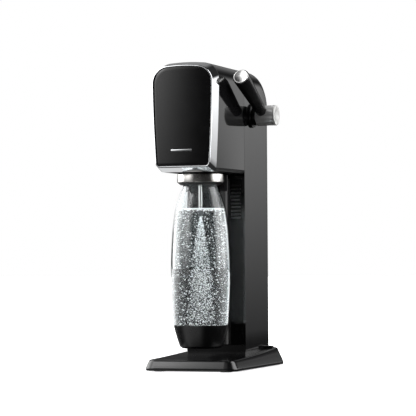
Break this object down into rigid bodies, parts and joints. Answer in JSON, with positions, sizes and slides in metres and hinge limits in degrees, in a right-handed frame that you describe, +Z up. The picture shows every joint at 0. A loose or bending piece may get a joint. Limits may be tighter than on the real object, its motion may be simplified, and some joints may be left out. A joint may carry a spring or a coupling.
{
  "type": "soda carbonator",
  "caption": "Counter-top soda carbonator: black column and head on a sloping base, side lever with chrome hub, clear bottle in a tilting steel collar, gas cylinder inside.",
  "frame": {"origin": "centre of the base on the surface it stands on", "axes": "+Z up, -Y towards the user (the head and bottle side), +X to the lever side"},
  "size_m": [0.1517, 0.244, 0.4325],
  "materials": {
    "gloss_black_abs": "gloss moulded black",
    "satin_black_abs": "satin moulded black",
    "panel_black": "mirror-gloss black",
    "matt_black_abs": "fine matt black",
    "grey_nylon": "moulded grey",
    "cylinder_paint": "painted grey",
    "rubber": "matt",
    "white_cap": "gloss white",
    "clear_pet": "clear",
    "chrome_plate": "polished",
    "brushed_steel": "finely brushed",
    "zinc_steel": "zinc plated",
    "brass": "machined",
    "gas_tubing": "translucent white",
    "water": "clear water with gas bubbles"
  },
  "bodies": {
    "root": {"column_shell": "gloss_black_abs", "head_shell": "gloss_black_abs", "base_plate": "satin_black_abs", "column_insert": "satin_black_abs", "lever_flange_bush": "satin_black_abs", "front_panel": "panel_black", "base_underside_cover": "matt_black_abs", "head_underside": "matt_black_abs", "lever_bush_left": "grey_nylon", "foot_centre": "rubber", "foot_front_left": "rubber", "foot_front_right": "rubber", "foot_rear_left": "rubber", "foot_rear_right": "rubber", "chrome_bezel": "chrome_plate", "panel_badge": "chrome_plate", "base_screw_front_left": "zinc_steel", "base_screw_front_right": "zinc_steel", "base_screw_rear_left": "zinc_steel", "base_screw_rear_right": "zinc_steel", "column_screw_left": "zinc_steel", "column_screw_right": "zinc_steel", "chassis_plate_left": "zinc_steel", "chassis_plate_right": "zinc_steel", "chassis_tie_front": "zinc_steel", "chassis_tie_middle": "zinc_steel", "chassis_tie_lower": "zinc_steel", "cylinder_yoke": "zinc_steel", "lever_return_spring": "zinc_steel", "plunger_spring": "zinc_steel", "rocker_pin": "zinc_steel", "holder_pivot_pin": "zinc_steel", "valve_block": "brass", "relief_valve": "brass", "swivel_banjo": "brass", "gas_tube": "gas_tubing"},
    "lever": {"lever_shaft": "zinc_steel", "hub_collar": "satin_black_abs", "hub_sleeve": "chrome_plate", "hub_end_cap": "white_cap", "handle_grip": "satin_black_abs", "handle_end_disc": "brushed_steel", "lever_cam": "zinc_steel"},
    "rocker": {"valve_rocker": "zinc_steel"},
    "plunger": {"valve_plunger": "zinc_steel"},
    "valve_pin": {"valve_pin": "zinc_steel"},
    "cylinder": {"gas_cylinder": "cylinder_paint", "cylinder_valve": "brass", "valve_collar": "grey_nylon"},
    "holder": {"holder_body": "matt_black_abs", "neck_guard": "matt_black_abs", "collar_ring": "brushed_steel", "neck_seal": "rubber", "nozzle_tube": "matt_black_abs", "nozzle_tip": "grey_nylon", "bottle_body": "clear_pet", "bottle_cup": "matt_black_abs"},
    "rear_cover": {"rear_cover": "satin_black_abs"},
    "lock_lever": {"lock_lever": "grey_nylon"}
  },
  "joints": [
    {"name": "lever_pull", "type": "hinge", "parent": "root", "child": "lever", "pos_m": [0, 0.0373, 0.3645], "axis": [1, 0, 0], "range_deg": [0, 50], "stiffness_Nm_per_rad": 0.6, "springref_deg": -28.65},
    {"name": "rocker_turn", "type": "hinge", "parent": "root", "child": "rocker", "pos_m": [0, 0.053, 0.395], "axis": [1, 0, 0], "range_deg": [-12.5, 0]},
    {"name": "plunger_press", "type": "slide", "parent": "root", "child": "plunger", "axis": [0, 0, 1], "range_m": [-0.0041, 0], "deforming": ["plunger_spring"]},
    {"name": "holder_tilt", "type": "hinge", "parent": "root", "child": "holder", "pos_m": [0, -0.0421, 0.31], "axis": [-1, 0, 0], "range_deg": [0, 12]},
    {"name": "rear_cover_off", "type": "slide", "parent": "root", "child": "rear_cover", "axis": [0, 1, 0], "range_m": [0, 0.16]},
    {"name": "cylinder_out", "type": "slide", "parent": "root", "child": "cylinder", "axis": [0, 1, 0], "range_m": [0, 0.08]},
    {"name": "pin_press", "type": "slide", "parent": "cylinder", "child": "valve_pin", "axis": [0, 0, 1], "range_m": [-0.0041, 0]},
    {"name": "lock_lever_lift", "type": "hinge", "parent": "root", "child": "lock_lever", "pos_m": [0, 0.06, 0.385], "axis": [1, 0, 0], "range_deg": [0, 50]}
  ],
  "couplings": [
    {"joint": "rocker_turn", "follows": "lever_pull", "ratio": -0.24},
    {"joint": "plunger_press", "follows": "lever_pull", "m_per_rad": -0.0045},
    {"joint": "pin_press", "follows": "lever_pull", "m_per_rad": -0.0045},
    {"joint": "cylinder_out", "follows": "rear_cover_off", "ratio": 0.5}
  ]
}
